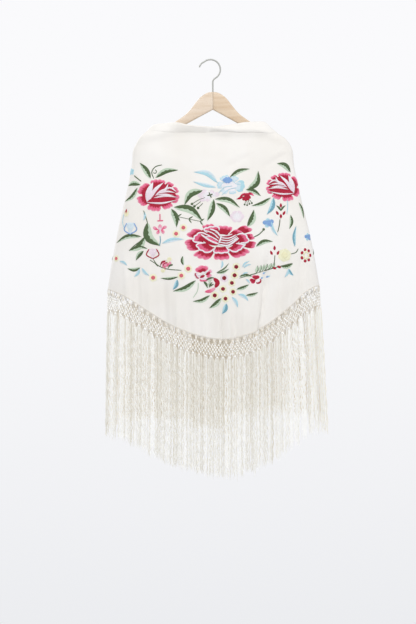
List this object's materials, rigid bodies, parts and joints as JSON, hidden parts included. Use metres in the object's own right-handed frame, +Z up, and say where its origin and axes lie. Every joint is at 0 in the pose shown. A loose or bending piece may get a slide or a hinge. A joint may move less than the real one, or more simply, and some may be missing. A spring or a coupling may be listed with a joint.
{
  "type": "flamenco shawl on a wooden coat hanger",
  "caption": "Fringed, embroidered flamenco shawl draped round a wooden coat hanger, open at the neck and hem, hanging from the hanger's wire hook.",
  "frame": {"origin": "the seat inside the top of the hanger's hook, where a rail carries it", "axes": "+Z up, +X to the right as seen from the front, -Y towards the viewer"},
  "size_m": [0.5551, 0.1249, 1.0474],
  "materials": {
    "crepe": "ivory crepe with a soft sheen",
    "fringe_silk": "lustrous crimped floss",
    "embroidery_thread": "satin stitch in pinks, reds, blues, greens and yellow",
    "hanger_wood": "clear satin varnish",
    "hook_wire": "satin"
  },
  "bodies": {
    "root": {"hook": "hook_wire", "hanger_arm_left": "hanger_wood", "hanger_arm_right": "hanger_wood", "shawl_front": "crepe", "shawl_wing_left": "crepe", "shawl_wing_right": "crepe", "turned_top_edge": "crepe", "fringe_front": "fringe_silk", "fringe_wing_left": "fringe_silk", "fringe_wing_right": "fringe_silk"}
  },
  "joints": []
}
